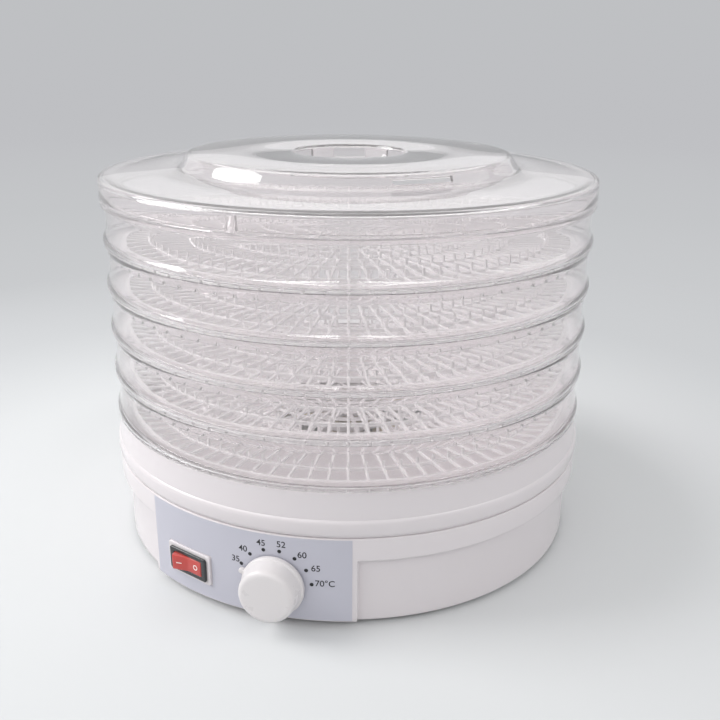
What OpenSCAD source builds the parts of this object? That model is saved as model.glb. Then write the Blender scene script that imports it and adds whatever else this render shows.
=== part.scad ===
// Round food dehydrator: a white base with a fan, a heater, a thermostat and a switch,
// five stacking trays of clear plastic, and a clear lid with a vented grip cup.
// Origin: centre of the footprint, on the worktop. +Z is up and the control panel faces -Y.
// Every length is in millimetres and every angle in degrees.

/* [Base] */
// How far the band round the base stands out beyond the rim above it
band_out = 2.7; // [2:0.1:6]
// Height of the rim that the first tray sits on
base_h = 88.5; // [82:0.5:110]
// Height of the seam between the two housings
seam_h = 60.7; // [56:0.1:66]
// Height of the top of the recessed skirt
recess_h = 45.8; // [40:0.1:50]
// How far the skirt is set back from the band
recess_depth = 4.7; // [3:0.1:8]
// How far the flare stands out beyond the band
flare_out = 0.6; // [0.2:0.1:2]
// Wall thickness of the white mouldings
wall = 2.5; // [2:0.1:3.2]
// Gap between the worktop and the wall of the base
wall_lift = 3; // [2:0.5:6]
// Gap between two mouldings that slide together
fit_gap = 0.3; // [0.2:0.05:0.5]
// How far the cover screws are set in from the skirt
post_inset = 19; // [16:0.5:24]

/* [Feet] */
// Radius of a rubber foot
foot_r = 9; // [6:0.5:12]
// How far the feet are set in from the skirt
foot_inset = 41; // [34:0.5:46]
// Radius of the stem that holds a foot in the cover
foot_stem_r = 3; // [2:0.1:4]

/* [Control panel] */
// Half of the angle that the raised panel covers
panel_half_angle = 25.3; // [24:0.1:32]
// Half of the angle that the label covers
label_half_angle = 24.2; // [22:0.1:23.9]
// Height of the panel's bottom edge
panel_bottom = 5; // [4.5:0.1:7]
// Margin of bare panel round the label
label_margin = 1; // [0.5:0.1:3]
// Thickness of the label
label_t = 0.3; // [0.1:0.05:0.5]

/* [Dial] */
// Angle of the dial from the middle of the panel
dial_angle = 8; // [4:0.5:10]
// Height of the dial's axis
dial_h = 27.7; // [26:0.1:30]
// Radius of the knob's skirt
knob_r = 19; // [15:0.5:20]
// Radius of the knob's front face
knob_nose_r = 16.4; // [12:0.1:17]
// Length of the knob
knob_len = 15; // [12:0.1:25]
// Radius of the thermostat's shaft
dial_shaft_r = 3; // [2.5:0.1:4]
// Radius of the circle of temperature dots
dots_circle_r = 22.5; // [22:0.1:24]
// Radius of one dot
dot_r = 1.15; // [0.8:0.05:1.6]
// Angle between two dots
dot_step = 24.8; // [20:0.1:28]
// Dial angle of the lowest temperature, turning left from the right-hand side
dot_first = 155; // [140:1:165]
// How far before the lowest temperature the knob stops
knob_stop_back = 4; // [0:1:15]

/* [Switch] */
// Angle of the switch from the middle of the panel
switch_angle = -13; // [-15:0.5:-11]
// Height of the middle of the switch
switch_h = 25.3; // [22:0.1:30]
// Width of the switch's frame
switch_w = 30; // [27:0.5:32]
// Height of the switch's frame
switch_tall = 15.4; // [13:0.1:18]
// Width of the frame's border
switch_border = 3; // [2:0.1:3.5]
// Angle that the rocker tilts to each side
rocker_tilt = 10; // [6:0.5:12]

/* [Trays] */
// Outer diameter of the rim that each piece of the stack sits on
rim_d = 318; // [264:1:382]
// Height that each tray adds to the stack
tray_pitch = 28.4; // [23.6:0.1:40]
// Thickness of a rim
rim_t = 2.2; // [2:0.1:3]
// Wall thickness of a tray
tray_t = 1.6; // [1.2:0.1:2]
// How far a tray's lower collar stands out beyond the rim
collar_out = 2; // [1:0.1:3]
// How far a tray's waist is drawn in from the rim
waist_in = 0.5; // [0:0.1:1]
// Length of the skirt that drops inside the piece below
nest_h = 6; // [4:0.5:9]
// Thickness of that skirt
nest_t = 1.8; // [1.4:0.1:2.4]
// Gap between that skirt and the rim round it
nest_gap = 0.4; // [0.3:0.05:0.8]
// Thickness of a tray's floor
floor_t = 2; // [1.6:0.1:3]
// Width of the solid border of a tray's floor
border_w = 10; // [6:0.5:14]
// Radius of the hole in the middle of a tray
tray_hole_r = 35.5; // [20:0.5:45]
// Width of a ring or rib in a tray's floor
grid_w = 1.8; // [1.2:0.1:3]
// Number of ribs in a tray's floor
rib_count = 24; // [12:2:40]

/* [Lid] */
// Wall thickness of the lid
lid_t = 2; // [1.6:0.1:2.6]
// How far the lid's skirt hangs over the top tray's rim
lid_overlap = 2.6; // [2:0.1:5]
// Height of the lid's skirt
skirt_h = 16; // [12:0.5:24]
// Rise of the lid's outer slope
slope_rise = 2.2; // [1:0.1:5]
// Height of the step up to the raised middle
plateau_h = 10; // [8:0.1:14]
// Radius of the raised middle, at its foot
plateau_r = 97.5; // [80:0.5:110]
// Radius of the grip cup in the middle
cup_r = 37; // [30:0.5:45]
// Depth of the grip cup
cup_depth = 9.2; // [7:0.1:12]
// Width of a vent in the wall of the cup
vent_w = 22; // [14:0.5:26]

/* [Fan and heater] */
// Radius of the air duct
duct_r = 57; // [54:0.1:68.4]
// Thickness of the duct's sheet metal
duct_t = 0.8; // [0.6:0.1:1.5]
// Radius of the fan
fan_r = 52; // [44:0.5:52]
// Radius of the motor's shaft
motor_shaft_r = 2.5; // [2:0.1:3]
// Clearance of a shaft in its bearing
bearing_gap = 0.05; // [0.03:0.01:0.08]
// Radius of the mains cord that the gland takes
cord_r = 3.4; // [2.5:0.1:4]

/* [Hidden] */
$fn = 96;
TINY = 0.01;
seat_gap = 0.2;

// Base
rim_r = rim_d / 2;
band_r = rim_r + band_out;
skirt_r = band_r - recess_depth;
post_circle_r = skirt_r - post_inset;
foot_circle_r = skirt_r - foot_inset;
rim_inner_r = rim_r - rim_t;
cover_bottom = wall_lift + 1;
cover_top = cover_bottom + wall;
ledge_top = cover_top + 2;
ledge_w = 3;
deck_top = base_h - nest_h - 8;
deck_bottom = deck_top - wall;
tongue_drop = 5.7;
flare_low = seam_h + 3;
flare_high = deck_bottom - 2.5;
post_r = 5;
screw_r = 1.5;
screw_depth = 15;
foot_h = cover_bottom;
CORNERS = [45, 135, 225, 315];

// Cord gland, in a flat pad on the skirt
gland_h = 22;
gland_r = cord_r + 3.6;
gland_gap = 0.2;
gland_rim = 2.2;
pad_half = 12;
pad_inside = skirt_r - wall - 1.5;
pad_outside = skirt_r + 0.8;

// Panel
panel_r = band_r;
panel_inner_r = panel_r - wall;
wall_angle = asin(wall / panel_r);
label_bottom = panel_bottom + label_margin;
label_top = seam_h - label_margin;

// Dial
bush_r = dial_shaft_r + 1.9;
bush_hole_r = bush_r + 0.2;
nut_r = bush_r + 3.1;
label_hole_r = nut_r + 0.6;
nut_well_r = nut_r + 1;
nut_well_h = 5.5;
knob_back = label_t + 0.7;
knob_skirt_h = 3.2;
knob_round = 2;
pointer_h = knob_skirt_h - 0.5;
shaft_reach = knob_back + knob_len - 4;
DOTS = [0:6];

// Switch
switch_gap = 0.2;
boss_w = switch_w + 4.6;
boss_tall = switch_tall + 4.6;
boss_out = 0.9;
frame_t = 1.6;
frame_front = boss_out + frame_t;
can_w = switch_w - 3;
can_tall = switch_tall - 3.4;
can_depth = 16;
rocker_room_w = switch_w - 2 * switch_border - 1.2;
rocker_room_tall = switch_tall - 2 * switch_border + 0.8;
rocker_reach = rocker_room_w / 2 - 0.15;
rocker_tall = rocker_room_tall - 0.4;
rocker_depth = 9;
pivot_in = 1.5;
pivot_r = 1.2;
pivot_len = can_tall - 0.4;
valley_out = frame_front + 0.2;

// Trays
nest_r = rim_inner_r - nest_gap;
nest_inner_r = nest_r - nest_t;
waist_r = rim_r - waist_in;
waist_h = tray_pitch / 2;
collar_low = 2.4;
collar_high = 4.4;
border_inner_r = nest_inner_r - border_w + nest_t;
ring_gap = (border_inner_r - tray_hole_r) / 4;
stack_top = base_h + 5 * tray_pitch;

// Lid
lid_seat = stack_top + seat_gap;
skirt_bottom = stack_top - lid_overlap;
skirt_top = skirt_bottom + skirt_h;
skirt_inner_r = rim_r + nest_gap;
skirt_outer_r = skirt_inner_r + lid_t;
crease_r = skirt_outer_r - 1;
plateau_foot = skirt_top + slope_rise;
plateau_top = plateau_foot + plateau_h;
plateau_top_r = plateau_r - 3;
cup_floor = plateau_top - cup_depth;
vent_count = 6;
vent_turn = -7;
vent_h = cup_depth - lid_t - 1.6;

// Fan, motor and heater
duct_bottom = cover_top + 31.5;
duct_flange_w = 10;
duct_flange_t = 1;
fan_low = duct_bottom + 1;
fan_h = 11;
fan_hub_r = 11;
blade_count = 7;
blade_pitch = 28;
heater_low = fan_low + fan_h + 6;
heater_h = deck_bottom - heater_low - 2;
coil_h = heater_low + heater_h / 2;
coil_wire_r = 1.3;
coil_gap = 14;
coil_radii = [18, 18 + coil_gap, 18 + 2 * coil_gap];
board_t = 1;
board_r = duct_r - duct_t - 2;
stator_low = cover_top + 6.5;
stator_h = 18;
stator_high = stator_low + stator_h;
stator_half = 24;
rotor_r = 15.8;
rotor_gap = 0.5;
window_x = 18.5;
limb_x = 30;
limb_w = 12;
coil_margin = 0.2;
coil_side = 11;
coil_half = 15;
bar_t = 2.5;
bar_leg = 1;
bar_w = 14;
bolt_r = 2;
bolt_y = 20;

// Places its children on the panel: local -Y points out, local X runs round the panel
module on_panel(angle, height) {
    rotate([0, 0, angle]) translate([0, -panel_r, height]) children();
}

// A ring between two radii and two heights
module ring(inner_r, outer_r, low, high) {
    rotate_extrude() translate([inner_r, low]) square([outer_r - inner_r, high - low]);
}

// A stretch of such a ring, centred on -Y
module ring_sector(inner_r, outer_r, low, high, half_angle) {
    rotate([0, 0, -90 - half_angle]) rotate_extrude(angle = 2 * half_angle)
        translate([inner_r, low]) square([outer_r - inner_r, high - low]);
}

// A slot along a radius, from one radius to another
module radial_bar(from_r, to_r, width, low, high) {
    translate([from_r, -width / 2, low]) cube([to_r - from_r, width, high - low]);
}

// Copies its children to places on a circle
module at_corners(circle_r) {
    for (a = CORNERS) rotate([0, 0, a]) translate([circle_r, 0, 0]) children();
}

// ---- Base ----

module lower_housing() {
    color("white") difference() {
        union() {
            rotate_extrude() polygon([
                [skirt_r - wall, wall_lift], [skirt_r, wall_lift], [skirt_r, recess_h],
                [band_r, recess_h], [band_r, seam_h], [band_r - wall, seam_h],
                [band_r - wall, recess_h + wall], [skirt_r - wall, recess_h + wall],
                [skirt_r - wall, ledge_top], [skirt_r - wall - ledge_w, ledge_top],
                [skirt_r - wall - ledge_w, cover_top], [skirt_r - wall, cover_top]]);
            ring_sector(skirt_r - wall / 2, panel_r, panel_bottom, recess_h + wall / 2,
                panel_half_angle);
            on_panel(switch_angle, switch_h)
                translate([-boss_w / 2, -boss_out, -boss_tall / 2])
                    cube([boss_w, boss_out + wall - 0.5, boss_tall]);
            translate([-pad_half, pad_inside, gland_h - pad_half])
                cube([2 * pad_half, pad_outside - pad_inside, 2 * pad_half]);
        }
        ring_sector(skirt_r - wall - 0.5, panel_inner_r - 0.1, ledge_top + 0.5,
            recess_h + wall + 1, panel_half_angle - wall_angle);
        on_panel(dial_angle, dial_h)
            rotate([90, 0, 0]) translate([0, 0, -2 * wall]) cylinder(r = bush_hole_r, h = 4 * wall);
        on_panel(switch_angle, switch_h) switch_can(switch_gap, -boss_out - 1, 2 * wall);
        translate([0, pad_inside - wall, gland_h]) rotate([-90, 0, 0])
            cylinder(r = gland_r + gland_gap, h = 4 * wall);
    }
}

module upper_housing() {
    color("white") difference() {
        union() {
            rotate_extrude() polygon([
                [band_r - wall - fit_gap - 2, seam_h - tongue_drop],
                [band_r - wall - fit_gap, seam_h - tongue_drop],
                [band_r - wall - fit_gap, seam_h],
                [band_r, seam_h], [band_r + flare_out, flare_low],
                [band_r + flare_out, flare_high],
                [band_r + flare_out - 0.35, flare_high + 1.3],
                [band_r + flare_out - 1.2, flare_high + 2.2],
                [rim_r + 0.4, base_h - 1.5], [rim_r, base_h - 0.6], [rim_r, base_h],
                [rim_inner_r, base_h], [rim_inner_r, deck_top], [duct_r, deck_top],
                [duct_r, deck_bottom], [band_r - wall - fit_gap - 2, deck_bottom]]);
            at_corners(post_circle_r)
                translate([0, 0, cover_top]) cylinder(r = post_r, h = deck_top - wall / 2 - cover_top);
        }
        at_corners(post_circle_r)
            translate([0, 0, cover_top - 1]) cylinder(r = screw_r, h = screw_depth + 1);
    }
}

module bottom_cover() {
    color("gainsboro") difference() {
        union() {
            translate([0, 0, cover_bottom])
                cylinder(r = skirt_r - wall - fit_gap, h = wall);
            for (side = [-1, 1]) translate([0, side * bolt_y, cover_top - TINY])
                cylinder(r = bolt_r + 3, h = stator_low - bar_leg - bar_t - cover_top + TINY);
        }
        for (side = [-1, 1]) translate([0, side * bolt_y, cover_top - wall / 2])
            cylinder(r = bolt_r, h = stator_low);
        at_corners(post_circle_r)
            translate([0, 0, cover_bottom - 1]) cylinder(r = screw_r + 0.6, h = wall + 2);
        at_corners(foot_circle_r)
            translate([0, 0, cover_bottom - 1]) cylinder(r = foot_stem_r, h = wall + 2);
        for (i = [0:23]) rotate([0, 0, 15 * i + 7.5])
            radial_bar(duct_r + 6, duct_r + 36, 4, cover_bottom - 1, cover_top + 1);
    }
}

module feet() {
    color("dimgray") at_corners(foot_circle_r) {
        cylinder(r = foot_r, h = foot_h);
        cylinder(r = foot_stem_r, h = cover_top + 1);
    }
}

module cover_screws() {
    color("silver") at_corners(post_circle_r) {
        translate([0, 0, cover_bottom - 2]) cylinder(r = screw_r + 2, h = 2);
        translate([0, 0, cover_bottom - 1]) cylinder(r = screw_r, h = wall + screw_depth - 1);
    }
}

module panel_label() {
    color("lavender") difference() {
        ring_sector(panel_r, panel_r + label_t, label_bottom, label_top, label_half_angle);
        on_panel(switch_angle, switch_h)
            translate([-boss_w / 2 - fit_gap, -5, -boss_tall / 2 - fit_gap])
                cube([boss_w + 2 * fit_gap, 10, boss_tall + 2 * fit_gap]);
        on_panel(dial_angle, dial_h)
            rotate([90, 0, 0]) translate([0, 0, -5]) cylinder(r = label_hole_r, h = 10);
    }
}

module dial_marks() {
    color("black") intersection() {
        ring_sector(panel_r + label_t, panel_r + label_t + 0.12, label_bottom, label_top,
            label_half_angle);
        on_panel(dial_angle, dial_h) for (i = DOTS) {
            turn = dot_first - dot_step * i;
            translate([dots_circle_r * cos(turn), 5, dots_circle_r * sin(turn)])
                rotate([90, 0, 0]) cylinder(r = dot_r, h = 10);
        }
    }
}

module cord_gland() {
    rim = gland_r + gland_rim;
    color("black") translate([0, 0, gland_h]) rotate([-90, 0, 0]) rotate_extrude() polygon([
        [cord_r, pad_inside - 4], [rim, pad_inside - 4], [rim, pad_inside], [gland_r, pad_inside],
        [gland_r, pad_outside], [rim, pad_outside], [rim, pad_outside + 1.6],
        [rim - 1, pad_outside + 2.6], [cord_r + 1, pad_outside + 2.6],
        [cord_r, pad_outside + 1.6]]);
}

module air_grille() {
    outer = duct_r + 8;
    high = deck_top + 3;
    color("white") union() {
        ring(duct_r - 4, outer, deck_top, deck_top + 2);
        ring(duct_r - 4, duct_r - 1.6, deck_top, high);
        for (r = [38, 24]) ring(r - 1.2, r + 1.2, deck_top, high);
        translate([0, 0, deck_top]) cylinder(r = 13, h = 3);
        for (i = [0:11]) rotate([0, 0, 30 * i])
            radial_bar(12, duct_r - 3, 2.4, deck_top, high);
    }
}

// ---- Switch ----

// The switch's can, grown by a margin, from one depth behind the panel to another
module switch_can(margin, from, to) {
    translate([-can_w / 2 - margin, from, -can_tall / 2 - margin])
        cube([can_w + 2 * margin, to - from, can_tall + 2 * margin]);
}

module switch_body() {
    color("black") on_panel(switch_angle, switch_h) difference() {
        union() {
            translate([-switch_w / 2, -frame_front, -switch_tall / 2])
                cube([switch_w, frame_t, switch_tall]);
            switch_can(0, -boss_out - TINY, can_depth);
        }
        translate([-rocker_room_w / 2, -frame_front - 1, -rocker_room_tall / 2])
            cube([rocker_room_w, frame_front + 1 + rocker_depth, rocker_room_tall]);
        translate([0, pivot_in, -can_tall / 2 - 1])
            cylinder(r = pivot_r + bearing_gap, h = can_tall + 2);
    }
}

module switch_terminals() {
    color("goldenrod") on_panel(switch_angle, switch_h) for (x = [-8, 0, 8])
        translate([x - 0.4, can_depth, -2.4]) cube([0.8, 8, 4.8]);
}

// Drawn pressed in at the right-hand side, which is off
module rocker() {
    end_out = valley_out + rocker_reach * tan(rocker_tilt);
    color("red") on_panel(switch_angle, switch_h)
        translate([0, pivot_in, 0]) rotate([0, 0, rocker_tilt]) {
            translate([0, 0, -rocker_tall / 2]) linear_extrude(rocker_tall) intersection() {
                circle(r = rocker_reach);
                polygon([[0, -valley_out - pivot_in], [rocker_reach, -end_out - pivot_in],
                    [rocker_reach, 1.5], [6, 4.5], [-6, 4.5], [-rocker_reach, 1.5],
                    [-rocker_reach, -end_out - pivot_in]]);
            }
            translate([0, 0, -pivot_len / 2]) cylinder(r = pivot_r, h = pivot_len);
        }
}

// ---- Dial ----

module knob() {
    nose = knob_back + knob_len;
    color("white") on_panel(dial_angle, dial_h) rotate([90, 0, 0]) union() {
        rotate_extrude() polygon([
            [nut_well_r, knob_back], [knob_r, knob_back], [knob_r, knob_back + knob_skirt_h],
            [knob_r - 0.8, knob_back + knob_skirt_h + 0.5],
            [knob_nose_r + 0.6, nose - knob_round], [knob_nose_r - 0.2, nose - 0.6],
            [knob_nose_r - knob_round, nose], [0, nose], [0, shaft_reach],
            [dial_shaft_r, shaft_reach], [dial_shaft_r, knob_back + nut_well_h],
            [nut_well_r, knob_back + nut_well_h]]);
        rotate([0, 0, dot_first + knob_stop_back]) translate([0, 0, knob_back + 0.2]) {
            translate([knob_r - 2, -1.5, 0]) cube([3.2, 3, pointer_h]);
            translate([knob_r + 1.2, 0, 0]) cylinder(r = 1.7, h = pointer_h);
        }
    }
}

body_front = wall + 1.6;
body_depth = 12;
module dial_shaft() {
    color("silver") on_panel(dial_angle, dial_h) rotate([90, 0, 0])
        translate([0, 0, -body_front - 6]) cylinder(r = dial_shaft_r, h = shaft_reach + body_front + 6);
}

module thermostat() {
    color("tan") on_panel(dial_angle, dial_h) rotate([90, 0, 0]) difference() {
        union() {
            translate([0, 0, -body_front - body_depth]) cylinder(r = 14, h = body_depth);
            translate([0, 0, -body_front - TINY]) cylinder(r = bush_r + 3, h = body_front - wall - 0.3);
            translate([0, 0, -body_front - TINY]) cylinder(r = bush_r, h = body_front + 4);
        }
        translate([0, 0, -body_front - 6]) cylinder(r = dial_shaft_r + bearing_gap, h = body_front + 20);
    }
}

module thermostat_nut() {
    color("silver") on_panel(dial_angle, dial_h) rotate([90, 0, 0]) difference() {
        translate([0, 0, 0.1]) cylinder(r = nut_r, h = 2.5, $fn = 6);
        translate([0, 0, -1]) cylinder(r = bush_r, h = 5);
    }
}

// ---- Wiring ----

block_y = skirt_r - 35;
block_h = 11;
wells = [-11, 0, 11];
module terminal_block() {
    color("ivory") difference() {
        translate([-18, block_y - 7, cover_top]) cube([36, 14, block_h]);
        for (x = wells) translate([x, block_y, cover_top + 4]) cylinder(r = 2.2, h = block_h);
        for (x = wells) translate([x, block_y - 8, cover_top + 4.5])
            rotate([-90, 0, 0]) cylinder(r = 1.6, h = 16);
    }
}

module terminal_screws() {
    color("goldenrod") for (x = wells) translate([x, block_y, cover_top + 6.5])
        cylinder(r = 2.1, h = block_h - 7.5);
}

// ---- Motor and fan ----

module motor_stator() {
    color("slategray") difference() {
        translate([-stator_half, -stator_half, stator_low])
            cube([stator_half + limb_x + limb_w, 2 * stator_half, stator_h]);
        translate([0, 0, stator_low - 1]) cylinder(r = rotor_r + rotor_gap, h = stator_h + 2);
        translate([window_x, -coil_half - coil_margin, stator_low - 1])
            cube([limb_x - window_x, 2 * (coil_half + coil_margin), stator_h + 2]);
        for (side = [-1, 1]) translate([0, side * bolt_y, stator_low - 1])
            cylinder(r = bolt_r, h = stator_h + 2);
    }
}

module motor_coil() {
    over = 5.5;
    color("peru") difference() {
        translate([limb_x - coil_side, -coil_half, stator_low - over])
            cube([limb_w + 2 * coil_side, 2 * coil_half, stator_h + 2 * over]);
        translate([limb_x - coil_margin, -coil_half - 1, stator_low - coil_margin])
            cube([limb_w + 2 * coil_margin, 2 * coil_half + 2, stator_h + 2 * coil_margin]);
    }
}

// A bar across the motor that holds one end of its shaft; its legs stand on the stator
module bearing_bar() {
    difference() {
        union() {
            translate([-bar_w / 2, -stator_half, bar_leg]) cube([bar_w, 2 * stator_half, bar_t]);
            for (side = [-1, 1]) translate([-bar_w / 2, side * bolt_y - 4, 0]) cube([bar_w, 8, bar_leg + TINY]);
        }
        translate([0, 0, -1]) cylinder(r = motor_shaft_r + bearing_gap, h = bar_leg + bar_t + 2);
        for (side = [-1, 1]) translate([0, side * bolt_y, -1])
            cylinder(r = bolt_r, h = bar_leg + bar_t + 2);
    }
}

module lower_bearing_bar() {
    color("lightgray") translate([0, 0, stator_low]) mirror([0, 0, 1]) bearing_bar();
}

module upper_bearing_bar() {
    color("lightgray") translate([0, 0, stator_high]) bearing_bar();
}

module motor_bolts() {
    bolt_low = cover_top - wall / 2;
    bolt_high = stator_high + bar_leg + bar_t;
    color("silver") for (side = [-1, 1]) translate([0, side * bolt_y, 0]) {
        translate([0, 0, bolt_low]) cylinder(r = bolt_r, h = bolt_high - bolt_low + TINY);
        translate([0, 0, bolt_high]) cylinder(r = bolt_r + 1.6, h = 2);
    }
}

module motor_rotor() {
    color("silver") ring(motor_shaft_r, rotor_r, stator_low + 1, stator_high - 1);
}

module motor_shaft() {
    shaft_low = stator_low - bar_leg - bar_t - 1;
    color("gainsboro") translate([0, 0, shaft_low])
        cylinder(r = motor_shaft_r, h = fan_low + fan_h + 4 - shaft_low);
}

module fan() {
    color("whitesmoke") difference() {
        union() {
            translate([0, 0, fan_low]) cylinder(r = fan_hub_r, h = fan_h);
            intersection() {
                ring(fan_hub_r - 2, fan_r, fan_low, fan_low + fan_h);
                for (i = [0:blade_count - 1]) rotate([0, 0, 360 / blade_count * i])
                    translate([0, 0, fan_low + fan_h / 2]) rotate([blade_pitch, 0, 0])
                        translate([0, -14, -0.8]) cube([fan_r, 28, 1.6]);
            }
        }
        translate([0, 0, fan_low - 1]) cylinder(r = motor_shaft_r, h = fan_h + 2);
    }
}

module fan_nut() {
    color("goldenrod") difference() {
        translate([0, 0, fan_low + fan_h]) cylinder(r = 4.5, h = 3, $fn = 6);
        translate([0, 0, fan_low + fan_h - 1]) cylinder(r = motor_shaft_r, h = 5);
    }
}

// ---- Air duct and heater ----

module air_duct() {
    color("lightsteelblue") difference() {
        union() {
            ring(duct_r - duct_t, duct_r, duct_bottom, deck_bottom);
            ring(duct_r - duct_t, duct_r + duct_flange_w, deck_bottom - duct_flange_t, deck_bottom);
        }
        at_corners(duct_r + duct_flange_w / 2)
            translate([0, 0, deck_bottom - 3]) cylinder(r = screw_r, h = 5);
    }
}

module duct_screws() {
    color("silver") at_corners(duct_r + duct_flange_w / 2)
        translate([0, 0, deck_bottom - duct_flange_t - 2]) cylinder(r = screw_r + 1.5, h = 2);
}

module coil_rings(wire_r) {
    for (r = coil_radii) translate([0, 0, coil_h])
        rotate_extrude() translate([r, 0]) circle(r = wire_r, $fn = 24);
}

module heater_boards() {
    color("burlywood") difference() {
        for (turn = [0, 90]) rotate([0, 0, turn])
            translate([-board_r, -board_t / 2, heater_low]) cube([2 * board_r, board_t, heater_h]);
        coil_rings(coil_wire_r);
    }
}

module heater_coil() {
    color("darkgray") coil_rings(coil_wire_r);
}

module thermal_cutout() {
    color("saddlebrown") rotate([0, 0, 200]) translate([duct_r, 0, coil_h - 8]) rotate([0, 90, 0]) {
        translate([0, 0, 0.2]) cylinder(r = 8, h = 4);
        translate([0, 0, 4]) cylinder(r = 6, h = 5);
    }
}

module thermal_fuse() {
    color("silver") rotate([0, 0, 160]) translate([duct_r + 2.4, 0, coil_h - 16])
        cylinder(r = 2, h = 16);
}

// ---- Trays and lid ----

// One tray, with the top of the rim that it sits on at height 0
module tray() {
    union() {
        rotate_extrude() polygon([
            [nest_inner_r, -nest_h], [nest_r, -nest_h], [nest_r, seat_gap], [rim_r, seat_gap],
            [rim_r + collar_out - 0.5, 1], [rim_r + collar_out, collar_low],
            [rim_r + collar_out, collar_high], [waist_r, waist_h], [rim_r, tray_pitch],
            [rim_inner_r, tray_pitch], [waist_r - tray_t, waist_h],
            [rim_r + collar_out - rim_t, collar_high], [rim_r + collar_out - rim_t, floor_t],
            [border_inner_r, floor_t], [border_inner_r, 0], [nest_inner_r, 0]]);
        for (i = [0:3]) {
            r = tray_hole_r + ring_gap * i;
            ring(r, r + grid_w, 0, floor_t);
        }
        for (i = [0:rib_count - 1]) rotate([0, 0, 360 / rib_count * i])
            radial_bar(tray_hole_r + grid_w / 2, border_inner_r + 1, grid_w, 0, floor_t);
    }
}

module tray_1() { color("mistyrose", 0.4) translate([0, 0, base_h]) tray(); }
module tray_2() { color("mistyrose", 0.4) translate([0, 0, base_h + tray_pitch]) tray(); }
module tray_3() { color("mistyrose", 0.4) translate([0, 0, base_h + 2 * tray_pitch]) tray(); }
module tray_4() { color("mistyrose", 0.4) translate([0, 0, base_h + 3 * tray_pitch]) tray(); }
module tray_5() { color("mistyrose", 0.4) translate([0, 0, base_h + 4 * tray_pitch]) tray(); }

module lid() {
    color("mistyrose", 0.4) difference() {
        rotate_extrude() polygon([
            [skirt_inner_r, skirt_bottom], [skirt_outer_r, skirt_bottom],
            [skirt_outer_r, skirt_top - 1.4], [skirt_outer_r - 0.4, skirt_top - 0.4],
            [crease_r - 0.4, skirt_top],
            [plateau_r, plateau_foot], [plateau_top_r + 0.8, plateau_top - 0.8],
            [plateau_top_r, plateau_top], [cup_r, plateau_top], [cup_r, cup_floor], [0, cup_floor],
            [0, cup_floor - lid_t], [cup_r + lid_t, cup_floor - lid_t],
            [cup_r + lid_t, plateau_top - lid_t], [plateau_top_r - lid_t, plateau_top - lid_t],
            [plateau_r - lid_t, plateau_foot - lid_t], [nest_r, skirt_top - lid_t],
            [nest_r, lid_seat + 1.8], [rim_inner_r - 1, lid_seat + 1.8],
            [rim_inner_r - 1, lid_seat], [skirt_inner_r, lid_seat]]);
        for (i = [0:vent_count - 1]) rotate([0, 0, 360 / vent_count * i + vent_turn])
            translate([cup_r - 2, -vent_w / 2, cup_floor + 0.4]) cube([lid_t + 4, vent_w, vent_h]);
    }
}

lower_housing();
upper_housing();
bottom_cover();
feet();
cover_screws();
panel_label();
dial_marks();
cord_gland();
air_grille();
switch_body();
switch_terminals();
rocker();
knob();
dial_shaft();
thermostat();
thermostat_nut();
terminal_block();
terminal_screws();
motor_stator();
motor_coil();
lower_bearing_bar();
upper_bearing_bar();
motor_bolts();
motor_rotor();
motor_shaft();
fan();
fan_nut();
air_duct();
duct_screws();
heater_boards();
heater_coil();
thermal_cutout();
thermal_fuse();
tray_1();
tray_2();
tray_3();
tray_4();
tray_5();
lid();
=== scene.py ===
# Looks of the food dehydrator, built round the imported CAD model.
# Metres throughout, +Z up, the control panel faces -Y. Profiles are written in millimetres.
import math

import bmesh
import bpy
from mathutils import Matrix, Vector


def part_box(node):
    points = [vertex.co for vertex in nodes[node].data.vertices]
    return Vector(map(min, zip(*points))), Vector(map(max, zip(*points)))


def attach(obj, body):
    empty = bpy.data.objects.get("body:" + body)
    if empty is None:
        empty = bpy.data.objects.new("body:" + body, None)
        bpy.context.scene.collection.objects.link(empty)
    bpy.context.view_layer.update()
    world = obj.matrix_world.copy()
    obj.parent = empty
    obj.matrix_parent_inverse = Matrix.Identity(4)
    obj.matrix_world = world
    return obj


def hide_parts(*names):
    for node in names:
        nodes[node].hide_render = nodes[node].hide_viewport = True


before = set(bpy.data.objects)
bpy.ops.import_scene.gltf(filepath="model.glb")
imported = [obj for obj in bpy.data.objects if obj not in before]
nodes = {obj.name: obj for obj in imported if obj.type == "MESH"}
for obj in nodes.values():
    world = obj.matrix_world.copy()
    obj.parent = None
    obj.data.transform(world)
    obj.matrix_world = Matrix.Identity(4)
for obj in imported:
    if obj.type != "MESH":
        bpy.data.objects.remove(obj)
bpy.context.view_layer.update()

MM = 0.001
scene = bpy.context.scene

# ---------------------------------------------------------------- camera

CAMERA_AZIMUTH = math.radians(23.3)
CAMERA_DISTANCE = 0.5905
CAMERA_HEIGHT = 0.3244
CAMERA_PITCH = math.radians(20.04)
CAMERA_YAW = math.radians(0.79)
CAMERA_ROLL = math.radians(0.49)


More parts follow.
